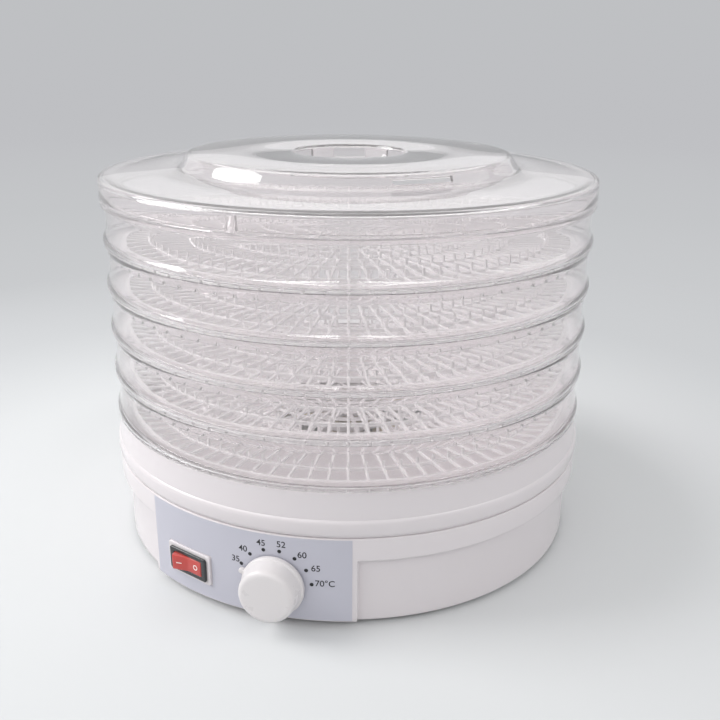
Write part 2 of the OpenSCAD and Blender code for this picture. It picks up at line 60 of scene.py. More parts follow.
def make_camera():
    data = bpy.data.cameras.new("camera")
    data.sensor_width = 36.0
    data.lens = 43.88
    data.clip_start = 0.01
    data.clip_end = 50.0
    cam = bpy.data.objects.new("camera", data)
    scene.collection.objects.link(cam)
    forward = Vector((math.sin(CAMERA_YAW) * math.cos(CAMERA_PITCH),
                      math.cos(CAMERA_YAW) * math.cos(CAMERA_PITCH),
                      -math.sin(CAMERA_PITCH)))
    right = Vector((math.cos(CAMERA_YAW), -math.sin(CAMERA_YAW), 0.0))
    up = right.cross(forward)
    c, s = math.cos(CAMERA_ROLL), math.sin(CAMERA_ROLL)
    rolled_right = c * right + s * up
    rolled_up = c * up - s * right
    look = Matrix((rolled_right, rolled_up, -forward)).transposed().to_4x4()
    place = Matrix.Translation((0.0, -CAMERA_DISTANCE, CAMERA_HEIGHT))
    cam.matrix_world = Matrix.Rotation(CAMERA_AZIMUTH, 4, "Z") @ place @ look
    scene.camera = cam


make_camera()

# ---------------------------------------------------------------- sizes, from the CAD

BASE_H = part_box("upper_housing")[1].z / MM
PITCH = (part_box("tray_2")[1].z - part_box("tray_1")[1].z) / MM
STACK_TOP = BASE_H + 5 * PITCH
LID_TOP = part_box("lid")[1].z / MM
PANEL_R = 161.7
SKIRT_R = 157.0
DIAL_ANGLE = 8.0
DIAL_H = 27.7
SWITCH_ANGLE = -13.0
SWITCH_H = 25.3

# ---------------------------------------------------------------- materials


def new_material(name):
    mat = bpy.data.materials.new(name)
    mat.use_nodes = True
    tree = mat.node_tree
    tree.nodes.clear()
    out = tree.nodes.new("ShaderNodeOutputMaterial")
    bsdf = tree.nodes.new("ShaderNodeBsdfPrincipled")
    tree.links.new(bsdf.outputs[0], out.inputs[0])
    coord = tree.nodes.new("ShaderNodeTexCoord")
    return mat, tree, bsdf, coord, out


def noise(tree, coord, scale, detail=4.0, rough=0.5, stretch=None):
    tex = tree.nodes.new("ShaderNodeTexNoise")
    tex.inputs["Scale"].default_value = scale
    tex.inputs["Detail"].default_value = detail
    tex.inputs["Roughness"].default_value = rough
    if stretch:
        mapping = tree.nodes.new("ShaderNodeMapping")
        mapping.inputs["Scale"].default_value = stretch
        tree.links.new(coord.outputs["Object"], mapping.inputs["Vector"])
        tree.links.new(mapping.outputs[0], tex.inputs["Vector"])
    else:
        tree.links.new(coord.outputs["Object"], tex.inputs["Vector"])
    return tex.outputs["Fac"]


def ranged(tree, value, low, high):
    node = tree.nodes.new("ShaderNodeMapRange")
    node.inputs["From Min"].default_value = low
    node.inputs["From Max"].default_value = high
    tree.links.new(value, node.inputs["Value"])
    return node.outputs["Result"]


def ramp(tree, fac, low, high, start=0.3, end=0.7):
    """A colour ramp from one colour or grey value to another."""
    node = tree.nodes.new("ShaderNodeValToRGB")
    stops = node.color_ramp.elements
    stops[0].position, stops[1].position = start, end
    for stop, value in zip(stops, (low, high)):
        stop.color = (*value, 1.0) if isinstance(value, tuple) else (value, value, value, 1.0)
    tree.links.new(fac, node.inputs[0])
    return node.outputs[0]


def bump(tree, bsdf, fac, strength, distance):
    node = tree.nodes.new("ShaderNodeBump")
    node.inputs["Strength"].default_value = strength
    node.inputs["Distance"].default_value = distance
    tree.links.new(fac, node.inputs["Height"])
    tree.links.new(node.outputs[0], bsdf.inputs["Normal"])


def tinted(color, factor):
    return tuple(min(1.0, c * factor) for c in color)


def plastic(name, color, rough, spread=0.04, grain=900.0, grain_depth=0.00002, coat=0.0,
            vary=0.03, subsurface=0.0):
    """Moulded plastic: a faint colour drift, uneven gloss and a fine surface texture."""
    mat, tree, bsdf, coord, _ = new_material(name)
    drift = noise(tree, coord, 9.0, 3.0)
    tree.links.new(ramp(tree, drift, tinted(color, 1 - vary), tinted(color, 1 + vary)),
                   bsdf.inputs["Base Color"])
    gloss = noise(tree, coord, 45.0, 5.0, 0.6)
    tree.links.new(ramp(tree, gloss, rough - spread, rough + spread), bsdf.inputs["Roughness"])
    bump(tree, bsdf, noise(tree, coord, grain, 3.0), 0.25, grain_depth)
    bsdf.inputs["IOR"].default_value = 1.5
    if coat:
        bsdf.inputs["Coat Weight"].default_value = coat
        bsdf.inputs["Coat Roughness"].default_value = 0.06
    if subsurface:
        bsdf.inputs["Subsurface Weight"].default_value = subsurface
        bsdf.inputs["Subsurface Radius"].default_value = (0.004, 0.0035, 0.0035)
        bsdf.inputs["Subsurface Scale"].default_value = 1.0
    return mat


def metal(name, color, rough, stretch, scale=300.0, metallic=1.0):
    """Metal with fine streaks along one direction."""
    mat, tree, bsdf, coord, _ = new_material(name)
    streak = noise(tree, coord, scale, 4.0, 0.6, stretch)
    tree.links.new(ramp(tree, streak, tinted(color, 0.82), tinted(color, 1.08)),
                   bsdf.inputs["Base Color"])
    tree.links.new(ramp(tree, streak, rough - 0.08, rough + 0.1), bsdf.inputs["Roughness"])
    bump(tree, bsdf, streak, 0.2, 0.00003)
    bsdf.inputs["Metallic"].default_value = metallic
    return mat


STYRENE_IOR = 1.49
LATTICE_FADE = 3.0


def flat_radius(tree, coord):
    """The distance from a piece's own Z axis."""
    split = tree.nodes.new("ShaderNodeSeparateXYZ")
    tree.links.new(coord.outputs["Object"], split.inputs[0])
    flat = tree.nodes.new("ShaderNodeCombineXYZ")
    tree.links.new(split.outputs["X"], flat.inputs["X"])
    tree.links.new(split.outputs["Y"], flat.inputs["Y"])
    reach = tree.nodes.new("ShaderNodeVectorMath")
    reach.operation = "LENGTH"
    tree.links.new(flat.outputs[0], reach.inputs[0])
    return reach.outputs["Value"]


def clear_plastic(name, tint, rough, transmission, lattice=None):
    """Clear styrene: tinted refraction, faint moulding ripples, and shadows light passes through.

    lattice: (radius in mm, transmission, roughness) of a textured, milkier floor inside a polished wall.
    """
    mat, tree, bsdf, coord, out = new_material(name)
    bsdf.inputs["Base Color"].default_value = (*tint, 1.0)
    bsdf.inputs["Transmission Weight"].default_value = transmission
    bsdf.inputs["IOR"].default_value = STYRENE_IOR
    if lattice:
        edge, milky, matte = lattice
        wall = ranged(tree, flat_radius(tree, coord), edge * MM, (edge + LATTICE_FADE) * MM)
        tree.links.new(ramp(tree, wall, milky, transmission, 0.0, 1.0),
                       bsdf.inputs["Transmission Weight"])
        tree.links.new(ramp(tree, wall, matte, rough, 0.0, 1.0), bsdf.inputs["Roughness"])
    else:
        smear = noise(tree, coord, 30.0, 3.0, 0.5)
        tree.links.new(ramp(tree, smear, rough * 0.5, rough * 1.6), bsdf.inputs["Roughness"])
    ripple = noise(tree, coord, 14.0, 1.0, 0.3)
    bump(tree, bsdf, ripple, 0.03, 0.0003)
    clear = tree.nodes.new("ShaderNodeBsdfTransparent")
    clear.inputs["Color"].default_value = (0.985, 0.98, 0.982, 1.0)
    path = tree.nodes.new("ShaderNodeLightPath")
    mix = tree.nodes.new("ShaderNodeMixShader")
    tree.links.new(path.outputs["Is Shadow Ray"], mix.inputs[0])
    tree.links.new(bsdf.outputs[0], mix.inputs[1])
    tree.links.new(clear.outputs[0], mix.inputs[2])
    tree.links.new(mix.outputs[0], out.inputs[0])
    return mat


WHITE = plastic("white_abs", (0.68, 0.64, 0.653), 0.2, 0.04, 1400.0, 0.000012, 0.0, 0.012, 0.0)
KNOB_WHITE = plastic("knob_abs", (0.68, 0.65, 0.652), 0.3, 0.05, 1800.0, 0.00002, 0.0, 0.012, 0.0)
COVER = plastic("cover_pp", (0.62, 0.61, 0.61), 0.5, 0.06, 700.0, 0.00004)
RUBBER = plastic("foot_rubber", (0.035, 0.035, 0.037), 0.75, 0.08, 900.0, 0.00008)
LABEL = plastic("label_film", (0.50, 0.497, 0.56), 0.38, 0.05, 2500.0, 0.00001, 0.0, 0.015)
INK = plastic("print_ink", (0.012, 0.012, 0.014), 0.5, 0.05)
GLAND = plastic("gland_nylon", (0.02, 0.02, 0.022), 0.55, 0.08)
SWITCH_BLACK = plastic("switch_black", (0.012, 0.014, 0.016), 0.16, 0.03, 1500.0, 0.00001, 0.4)
ROCKER_RED = plastic("rocker_red", (0.5, 0.055, 0.045), 0.22, 0.03, 1500.0, 0.00001, 0.3, 0.05, 0.3)
MARK_WHITE = plastic("mark_white", (0.85, 0.75, 0.73), 0.4, 0.05)
BRASS = metal("brass", (0.72, 0.52, 0.25), 0.32, (1.0, 8.0, 1.0))
STEEL = metal("steel", (0.6, 0.6, 0.61), 0.3, (1.0, 10.0, 1.0))
PHENOLIC = plastic("phenolic", (0.19, 0.1, 0.06), 0.42, 0.06)
NYLON = plastic("block_nylon", (0.7, 0.68, 0.6), 0.45, 0.05)
LAMINATE = metal("laminated_steel", (0.23, 0.25, 0.28), 0.45, (1.0, 1.0, 30.0), 200.0, 0.8)
COPPER = metal("copper_winding", (0.62, 0.28, 0.13), 0.35, (1.0, 1.0, 40.0), 160.0)
ALLOY = metal("cast_alloy", (0.5, 0.5, 0.52), 0.5, (1.0, 1.0, 1.0), 500.0)
ROTOR = metal("rotor_metal", (0.52, 0.52, 0.53), 0.35, (1.0, 1.0, 25.0))
FAN = plastic("fan_plastic", (0.75, 0.75, 0.74), 0.32, 0.05)
DUCT = metal("duct_steel", (0.52, 0.54, 0.57), 0.34, (1.0, 1.0, 20.0))
MICA = plastic("mica_board", (0.55, 0.45, 0.3), 0.4, 0.1, 350.0, 0.0001, 0.0, 0.18)
WIRE = metal("heater_wire", (0.32, 0.31, 0.3), 0.5, (20.0, 20.0, 1.0))
TRAY_CLEAR = clear_plastic("tray_styrene", (1.0, 0.98, 0.984), 0.015, 0.94, (148.0, 0.62, 0.12))
LID_CLEAR = clear_plastic("lid_styrene", (1.0, 0.968, 0.973), 0.015, 0.9)

CAD_FINISH = {
    "air_grille": WHITE, "bottom_cover": COVER, "feet": RUBBER, "cover_screws": STEEL,
    "panel_label": LABEL, "dial_marks": INK, "cord_gland": GLAND, "switch_terminals": BRASS,
    "dial_shaft": STEEL, "thermostat": PHENOLIC, "thermostat_nut": STEEL,
    "terminal_block": NYLON, "terminal_screws": BRASS, "motor_stator": LAMINATE,
    "motor_coil": COPPER, "lower_bearing_bar": ALLOY, "upper_bearing_bar": ALLOY,
    "motor_bolts": STEEL, "motor_rotor": ROTOR, "motor_shaft": STEEL, "fan": FAN,
    "fan_nut": BRASS, "air_duct": DUCT, "duct_screws": STEEL, "heater_boards": MICA,
    "heater_coil": WIRE, "thermal_cutout": PHENOLIC, "thermal_fuse": STEEL,
}
for cad_name, finish in CAD_FINISH.items():
    slots = nodes[cad_name].material_slots
    for cad_slot in slots:
        cad_slot.material = finish
    if not slots:
        nodes[cad_name].data.materials.append(finish)

# ---------------------------------------------------------------- mesh tools


def sweep(points, cells, turns, solid):
    """Sweeps the cells of an (r, z) cross-section round +Z, in millimetres.

    points: {name: (r, z)}; cells: {name: point names, anticlockwise};
    turns: for each boundary between slots, a function from a radius to an angle in radians;
    solid(slot, cell): whether the cell is there between turns slot and slot + 1.
    """
    count = len(turns)
    bm = bmesh.new()
    made = {}

    def vert(turn, name):
        r, z = points[name]
        key = (0 if r == 0 else turn % count, name)
        if key not in made:
            angle = turns[key[0]](r)
            made[key] = bm.verts.new((r * math.cos(angle) * MM, r * math.sin(angle) * MM, z * MM))
        return made[key]

    def face(corners):
        unique = list(dict.fromkeys(corners))
        if len(unique) > 2:
            bm.faces.new(unique)

    neighbour = {}
    for cell, ring in cells.items():
        for a, b in zip(ring, ring[1:] + ring[:1]):
            neighbour[(a, b)] = cell
    for slot in range(count):
        for cell, ring in cells.items():
            if not solid(slot, cell):
                continue
            for a, b in zip(ring, ring[1:] + ring[:1]):
                other = neighbour.get((b, a))
                if other is None or not solid(slot, other):
                    face([vert(slot, a), vert(slot + 1, a), vert(slot + 1, b), vert(slot, b)])
            if not solid((slot - 1) % count, cell):
                face([vert(slot, p) for p in ring])
            if not solid((slot + 1) % count, cell):
                face([vert(slot + 1, p) for p in reversed(ring)])
    return bm


def strip(points, cells, pairs, tag):
    """Adds a wall to a cross-section: pairs of (outer, inner) points, from its foot to its top."""
    for i, (outer, inner) in enumerate(pairs):
        for side, point in (("o", outer), ("i", inner)):
            if not isinstance(point, str):
                points[f"{tag}{side}{i}"] = point
    names = [tuple(p if isinstance(p, str) else f"{tag}{side}{i}"
                   for side, p in zip("oi", pair)) for i, pair in enumerate(pairs)]
    for i, ((o1, i1), (o2, i2)) in enumerate(zip(names, names[1:])):
        ring = list(dict.fromkeys([o1, o2, i2, i1]))
        cells[f"{tag}{i}"] = ring


def even_turns(count, start=0.0):
    return [lambda r, a=start + 2 * math.pi * i / count: a for i in range(count)]


def finish_mesh(bm, name, material, width=0.0, segments=2, limit=38.0, smooth=32.0):
    """Bevels the sharp edges, shades smooth between soft ones and makes the object."""
    bm.normal_update()
    if width:
        sharp = [e for e in bm.edges
                 if len(e.link_faces) == 2 and e.calc_face_angle(0.0) > math.radians(limit)]
        bmesh.ops.bevel(bm, geom=sharp, offset=width * MM, segments=segments, profile=0.5,
                        affect="EDGES", clamp_overlap=True, loop_slide=True)
    mesh = bpy.data.meshes.new(name)
    bm.to_mesh(mesh)
    bm.free()
    mesh.shade_smooth()
    mesh.set_sharp_from_angle(angle=math.radians(smooth))
    mesh.materials.append(material)
    return mesh


def add_object(mesh, name, body, stands_for=(), place=None):
    obj = bpy.data.objects.new(name, mesh)
    scene.collection.objects.link(obj)
    if place is not None:
        obj.matrix_world = place
    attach(obj, body)
    if stands_for:
        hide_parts(*stands_for)
    return obj


def on_panel(angle, height):
    """The place on the panel at an angle from its middle: -Y points out, X runs round it."""
    turn = Matrix.Rotation(math.radians(angle), 4, "Z")
    return turn @ Matrix.Translation((0.0, -PANEL_R * MM, height * MM))


def cut(obj, cutters):
    """Takes the cutters' shapes out of a piece."""
    for cutter in cutters:
        mod = obj.modifiers.new("cut", "BOOLEAN")
        mod.operation = "DIFFERENCE"
        mod.solver = "EXACT"
        mod.object = cutter
    graph = bpy.context.evaluated_depsgraph_get()
    mesh = bpy.data.meshes.new_from_object(obj.evaluated_get(graph))
    obj.modifiers.clear()
    old = obj.data
    obj.data = mesh
    bpy.data.meshes.remove(old)
    for cutter in cutters:
        bpy.data.objects.remove(cutter)


def add_block(bm, low, high):
    """Adds a box between two corners given in millimetres."""
    made = bmesh.ops.create_cube(bm, size=1.0)
    size = [(b - a) * MM for a, b in zip(low, high)]
    middle = [(b + a) / 2 * MM for a, b in zip(low, high)]
    bmesh.ops.transform(bm, verts=made["verts"],
                        matrix=Matrix.Translation(middle) @ Matrix.Diagonal((*size, 1.0)))


def make_cutter(bm, place):
    mesh = bpy.data.meshes.new("cutter")
    bm.to_mesh(mesh)
    bm.free()
    obj = bpy.data.objects.new("cutter", mesh)
    scene.collection.objects.link(obj)
    obj.matrix_world = place
    return obj


def temp_box(low, high, place):
    bm = bmesh.new()
    add_block(bm, low, high)
    return make_cutter(bm, place)


def temp_rod(radius, start, end, place):
    """A cutter along the place's Y axis."""
    bm = bmesh.new()
    bmesh.ops.create_cone(bm, cap_ends=True, segments=64, radius1=radius * MM,
                          radius2=radius * MM, depth=(end - start) * MM)
    bm.transform(Matrix.Translation((0, (start + end) / 2 * MM, 0))
                 @ Matrix.Rotation(math.pi / 2, 4, "X"))
    return make_cutter(bm, place)


def lathe(pairs, count=96):
    """A closed turned solid about +Z from one outline of (r, z) points, anticlockwise."""
    points = {str(i): p for i, p in enumerate(pairs)}
    return sweep(points, {"body": list(points)}, even_turns(count), lambda s, c: True)


# ---------------------------------------------------------------- trays

RIBS = 80
RIB_PHASE = math.radians(-66.7)
RIB_W = 1.7
RINGS = [(35.5, 37.5), (57.0, 58.8), (79.2, 81.0), (104.2, 106.0), (130.2, 132.0)]
BORDER_R = 146.4
SKIRT_IN = 154.6
SKIRT_OUT = 156.4
SKIRT_FOOT = -4.4
TEETH_FOOT = -6.0
FLOOR_T = 2.0
PEG_TOP = 6.6
PEG_INSET = 0.35
GAP_LINES = 3
NARROWEST_R = 20.0
EVERY_RIB_FROM = 4


def tray_turns():
    """Each rib has a line at either side; between two ribs there are evenly spread lines."""
    turns = []
    step = 2 * math.pi / RIBS
    for rib in range(RIBS):
        middle = RIB_PHASE + rib * step

        def half(r):
            return math.asin(RIB_W / 2 / min(max(r, NARROWEST_R), BORDER_R))

        turns.append(lambda r, m=middle: m - half(r))
        for k in range(GAP_LINES):
            share = k / GAP_LINES
            turns.append(lambda r, m=middle, s=share: m + half(r) + s * (step - 2 * half(r)))
    return turns


def make_tray_mesh():
    """A rim wall round a floor of rings and ribs, with a toothed skirt under it.

    Near the middle the floor has only every other rib, and pegs stand where ribs cross rings.
    """
    points, cells = {}, {}
    radii = [r for ring in RINGS for r in ring] + [BORDER_R, SKIRT_IN]
    for i, r in enumerate(radii):
        points[f"b{i}"] = (r, 0.0)
        points[f"t{i}"] = (r, FLOOR_T)
    for i in range(len(radii) - 1):
        cells[f"floor{i}"] = [f"b{i}", f"b{i+1}", f"t{i+1}", f"t{i}"]
    last = len(radii) - 1
    points.update({
        "n0": (SKIRT_OUT, 0.2), "n1": (SKIRT_OUT, FLOOR_T),
        "s0": (SKIRT_IN, SKIRT_FOOT), "s1": (SKIRT_OUT, SKIRT_FOOT),
        "e0": (SKIRT_IN + 0.2, TEETH_FOOT), "e1": (SKIRT_OUT - 0.2, TEETH_FOOT)})
    cells["corner"] = [f"b{last}", "n0", "n1", f"t{last}"]
    cells["skirt"] = ["s0", "s1", "n0", f"b{last}"]
    cells["teeth"] = ["e0", "e1", "s1", "s0"]
    strip(points, cells, [
        ("n0", "n1"), ((159.0, 0.2), (157.6, 2.0)), ((160.1, 0.5), (158.4, 2.25)),
        ((160.75, 1.2), (158.8, 2.8)), ((161.0, 2.2), (158.95, 3.5)),
        ((161.0, 3.6), (158.95, 4.2)), ((160.75, 4.8), (158.75, 5.2)),
        ((160.2, 5.9), (158.3, 6.4)), ((159.5, 7.2), (157.75, 7.8)),
        ((158.95, 9.0), (157.3, 9.6)), ((158.65, 11.4), (157.0, 11.8)),
        ((158.5, 14.2), (156.9, 14.4)), ((158.55, 18.5), (156.85, 18.5)),
        ((158.8, 23.5), (156.8, 23.5)), ((159.0, PITCH - 1.0), (156.8, PITCH - 1.0)),
        ((158.75, PITCH - 0.25), (157.1, PITCH - 0.25)),
        ((158.3, PITCH), (157.5, PITCH))], "wall")
    pegs = {}
    for k in range(1, len(RINGS)):
        inner, outer = RINGS[k]
        i = 2 * k
        points[f"p{k}a"] = (inner + PEG_INSET, PEG_TOP)
        points[f"p{k}b"] = (outer - PEG_INSET, PEG_TOP)
        cells[f"peg{k}"] = [f"t{i}", f"t{i+1}", f"p{k}b", f"p{k}a"]
        pegs[f"peg{k}"] = k
    per_rib = GAP_LINES + 1

    def solid(slot, cell):
        rib, part = divmod(slot, per_rib)
        on_rib = part == 0
        if cell in pegs:
            return on_rib and (pegs[cell] >= 2 or rib % 2 == 0)
        if cell == "teeth":
            return not on_rib
        if cell.startswith("floor"):
            band = int(cell[5:])
            if band % 2 == 0 or band == last - 1:
                return True
            return on_rib and (band >= EVERY_RIB_FROM or rib % 2 == 0)
        return True

    bm = sweep(points, cells, tray_turns(), solid)
    return finish_mesh(bm, "clear_tray", TRAY_CLEAR, 0.28, 1, 50.0, 40.0)


tray_mesh = make_tray_mesh()
for number in range(1, 6):
    lift = Matrix.Translation((0, 0, (BASE_H + (number - 1) * PITCH) * MM))
    add_object(tray_mesh, f"clear_tray_{number}", f"tray_{number}",
               (f"tray_{number}",), lift)

# ---------------------------------------------------------------- lid

VENTS = 6
VENT_TURN = -7.0
VENT_HALF = 17.3
LID_SLOTS = 360
VENT_CELL = "w22"
SLIDE_CELL = "w12"
INDEX_SLOTS = (270, 271)
SLIDE_SLOTS = range(306, 326)
LID_HEM = 2.6
LID_SKIRT_H = 16.0
LID_SLOPE_H = 2.2
CUP_DEPTH = 9.2


def make_lid_mesh():
    """A skirt, a shallow slope, a raised middle with a slide slot, and a cup with vents."""
    points, cells = {}, {}
    skirt_low = STACK_TOP - LID_HEM
    skirt_high = skirt_low + LID_SKIRT_H
    foot = skirt_high + LID_SLOPE_H
    top = LID_TOP
    seat = STACK_TOP + 0.2
    floor = top - CUP_DEPTH
    points.update({
        "k0": (159.6, skirt_low + 0.3), "k1": (161.2, skirt_low), "k2": (161.4, skirt_low + 0.4),
        "k3": (161.4, seat), "k4": (159.4, seat), "k5": (159.4, skirt_low + 0.5),
        "l0": (155.8, seat), "l1": (155.8, seat + 1.8), "l2": (158.0, seat + 1.8),
        "m2": (161.4, seat + 1.8)})
    cells["hem"] = ["k0", "k1", "k2", "k3", "k4", "k5"]
    cells["seat"] = ["k4", "k3", "m2", "l2"]
    cells["ledge"] = ["l0", "k4", "l2", "l1"]
    strip(points, cells, [
        ("m2", "l2"),
        ((161.4, skirt_high - 2.6), (158.9, skirt_high - 3.6)),
        ((161.3, skirt_high - 1.6), (158.6, skirt_high - 2.9)),
        ((160.95, skirt_high - 0.8), (158.2, skirt_high - 2.35)),
        ((160.35, skirt_high - 0.25), (157.6, skirt_high - 2.05)),
        ((159.5, skirt_high + 0.05), (156.8, skirt_high - 1.95)),
        ((150.0, skirt_high + 0.45), (150.0, skirt_high - 1.55)),
        ((130.0, foot - 0.4), (130.0, foot - 2.4)),
        ((112.6, foot + 1.0), (112.0, foot - 1.0)),
        ((111.3, foot + 1.35), (109.9, foot - 0.6)),
        ((110.5, foot + 2.0), (108.5, foot + 0.3)),
        ((109.7, foot + 3.0), (107.7, foot + 1.4)),
        ((109.1, foot + 3.9), (107.1, foot + 2.3)),
        ((107.3, top - 3.2), (105.2, top - 4.6)),
        ((106.3, top - 1.7), (104.4, top - 3.4)),
        ((105.6, top - 0.8), (103.8, top - 2.7)),
        ((104.6, top - 0.25), (103.1, top - 2.25)),
        ((103.2, top - 0.03), (102.2, top - 2.05)),
        ((70.0, top), (70.0, top - 2.0)),
        ((39.0, top), (39.6, top - 2.0)),
        ((38.0, top - 0.2), (39.1, top - 2.2)),
        ((37.3, top - 0.8), (39.0, top - 2.6)),
        ((37.0, top - 2.6), (39.0, top - 2.9)),
        ((37.0, floor + 0.5), (39.0, floor + 0.3)),
        ((36.6, floor), (39.0, floor - 1.6)),
        ((20.0, floor), (38.6, floor - 2.0)),
        ((0.0, floor), (0.0, floor - 2.0))], "w")
    points["q1"] = (156.4, skirt_high - 3.6)
    cells["index"] = ["l1", "l2", "wi1", "q1"]
    step = 360.0 / LID_SLOTS

    def solid(slot, cell):
        if cell == VENT_CELL:
            turn = ((slot + 0.5) * step - VENT_TURN + 180.0 / VENTS) % (360.0 / VENTS)
            return abs(turn - 180.0 / VENTS) > VENT_HALF
        if cell == "index":
            return slot in INDEX_SLOTS
        if cell == SLIDE_CELL:
            return slot not in SLIDE_SLOTS
        return True

    bm = sweep(points, cells, even_turns(LID_SLOTS), solid)
    return finish_mesh(bm, "clear_lid", LID_CLEAR, 0.3, 1, 50.0, 40.0)


add_object(make_lid_mesh(), "clear_lid", "lid", ("lid",))

# ---------------------------------------------------------------- white housings

PANEL_HALF = 25.3
PANEL_SIDE = 24.4
SHELL_IN = 154.5
PANEL_MID = 159.2
DECK_LOW, DECK_TOP = 72.0, 74.5
DECK_HOLE_R = 57.0
POST_R = 5.0
POST_RING = 0.138
POST_FOOT = 6.5
SWITCH_CUT = (13.7, 6.2)
BUSH_CUT_R = 5.1
GLAND_CUT_R = 7.2
GLAND_PLACE = Matrix.Translation((0, 0.1555, 0.022))


def panel_turns():
    marks = []
    for whole in range(-180, 180):
        near = {25: PANEL_HALF, 24: PANEL_SIDE, -25: -PANEL_HALF, -24: -PANEL_SIDE}
        marks.append(near.get(whole, float(whole)))
    return marks, [lambda r, a=math.radians(m - 90.0): a for m in marks]


def make_lower_housing():
    """A skirt under a band, and a hollow raised panel with a frame all round it on the front.

    levels are the heights from the skirt's foot to the band's top.
    """
    marks, turns = panel_turns()
    points, cells = {}, {}
    levels = {"a": 3.0, "b": 5.0, "c": 9.0, "d": 45.8, "e": 48.3, "f": 60.5}
    radii = [SHELL_IN, SKIRT_R, PANEL_MID, PANEL_R]
    for tag, z in levels.items():
        for i, r in enumerate(radii):
            points[f"{tag}{i}"] = (r, z)
    for low, high in (("a", "b"), ("b", "c"), ("c", "d"), ("d", "e"), ("e", "f")):
        for i in range(3):
            cells[f"{low}{i}"] = [f"{low}{i}", f"{low}{i+1}", f"{high}{i+1}", f"{high}{i}"]

    def solid(slot, cell):
        middle = (marks[slot] + marks[slot + 1]) / 2 if slot < 359 else 179.5
        in_panel = abs(middle) < PANEL_HALF
        in_bay = abs(middle) < PANEL_SIDE
        level, place = cell[0], int(cell[1])
        if level == "a":
            return place == 0
        if level == "b":
            return place == 0 or in_panel
        if level == "c":
            if place == 0:
                return not in_bay
            return in_panel if place == 2 else in_panel and not in_bay
        if level == "d":
            return place == 2 or not in_bay
        return place == 2

    bm = sweep(points, cells, turns, solid)
    mesh = finish_mesh(bm, "lower_shell", WHITE, 0.7, 3, 50.0, 35.0)
    shell = add_object(mesh, "lower_shell", "base", ("lower_housing",))
    cut_x, cut_z = SWITCH_CUT
    cut(shell, [
        temp_rod(BUSH_CUT_R, -8.0, 8.0, on_panel(DIAL_ANGLE, DIAL_H)),
        temp_box((-cut_x, -6.0, -cut_z), (cut_x, 8.0, cut_z), on_panel(SWITCH_ANGLE, SWITCH_H)),
        temp_rod(GLAND_CUT_R, -8.0, 8.0, GLAND_PLACE)])


def make_upper_housing():
    """A flare, a rim that holds the lowest tray, a deck and four posts down to the bottom cover."""
    points, cells = {}, {}
    strip(points, cells, [
        ((158.9, 55.0), (156.9, 55.0)), ((158.9, 60.75), (156.9, 60.75)),
        ((160.75, 60.75), (156.9, 61.4)), ((160.85, 61.2), (157.2, 61.9)),
        ((161.85, 62.4), (158.6, 63.0)), ((162.3, 63.8), (159.6, 64.4)),
        ((162.3, 69.0), (159.6, 68.6)), ((162.2, 70.0), (159.2, 69.6)),
        ((161.9, 70.9), (158.4, 70.6)), ((161.45, 71.6), (157.4, 71.5))], "u")
    points.update({"v0": (161.0, 72.1), "v1": (160.8, DECK_TOP), "v2": (156.8, DECK_TOP),
                   "v3": (156.8, DECK_LOW),
                   "d0": (DECK_HOLE_R, DECK_LOW), "d1": (DECK_HOLE_R, DECK_TOP)})
    cells["joint"] = ["uo9", "v0", "v1", "v2", "v3", "ui9"]
    cells["deck"] = ["d0", "v3", "v2", "d1"]
    strip(points, cells, [
        ("v1", "v2"), ((160.25, 79.0), (156.8, 79.0)), ((159.6, 84.8), (156.8, 84.8)),
        ((159.35, 87.0), (156.8, 87.4)), ((159.15, 87.9), (156.95, 88.1)),
        ((158.75, 88.4), (157.25, 88.4)), ((158.3, BASE_H), (157.6, BASE_H))], "r")
    bm = sweep(points, cells, even_turns(360), lambda s, c: True)
    post_top = DECK_LOW + 0.5
    stand = Matrix.Translation((POST_RING, 0, (post_top + POST_FOOT) / 2 * MM))
    for corner in range(4):
        turn = Matrix.Rotation(math.radians(45 + 90 * corner), 4, "Z")
        post = bmesh.ops.create_cone(bm, cap_ends=True, segments=32, radius1=POST_R * MM,
                                     radius2=POST_R * MM, depth=(post_top - POST_FOOT) * MM)
        bmesh.ops.transform(bm, verts=post["verts"], matrix=turn @ stand)
    mesh = finish_mesh(bm, "upper_shell", WHITE, 0.25, 2, 50.0, 35.0)
    add_object(mesh, "upper_shell", "base", ("upper_housing",))


RING_POINTS = 48


def rounded_rectangle(width, height, corner):
    """The outline of a rounded rectangle about the origin, anticlockwise."""
    ring = []
    steps = RING_POINTS // 4
    for sx, sz, start in ((1, 1, 0), (-1, 1, 90), (-1, -1, 180), (1, -1, 270)):
        for k in range(steps):
            a = math.radians(start + 90.0 * (k + 0.5) / steps)
            ring.append((sx * (width / 2 - corner) + corner * math.cos(a),
                         sz * (height / 2 - corner) + corner * math.sin(a)))
    return ring


def circle(radius):
    turns = [2 * math.pi * (k + 0.5) / RING_POINTS for k in range(RING_POINTS)]
    return [(radius * math.cos(a), radius * math.sin(a)) for a in turns]


def plate_with_hole(name, material, outline, hole, low, high, place, width):
    """A flat plate that faces -Y, from two outlines of (x, z) points and two y values."""
    bm = bmesh.new()
    rows = [[[bm.verts.new((x * MM, y * MM, z * MM)) for x, z in ring] for y in (low, high)]
            for ring in (outline, hole)]
    (out_front, out_back), (in_front, in_back) = rows
    for k in range(RING_POINTS):
        j = (k + 1) % RING_POINTS
        bm.faces.new([out_front[k], in_front[k], in_front[j], out_front[j]])
        bm.faces.new([out_back[j], in_back[j], in_back[k], out_back[k]])
        bm.faces.new([out_front[j], out_back[j], out_back[k], out_front[k]])
        bm.faces.new([in_front[k], in_back[k], in_back[j], in_front[j]])
    bmesh.ops.recalc_face_normals(bm, faces=bm.faces)
    mesh = finish_mesh(bm, name, material, width, 3, 50.0, 40.0)
    return add_object(mesh, name, "base", (), place)


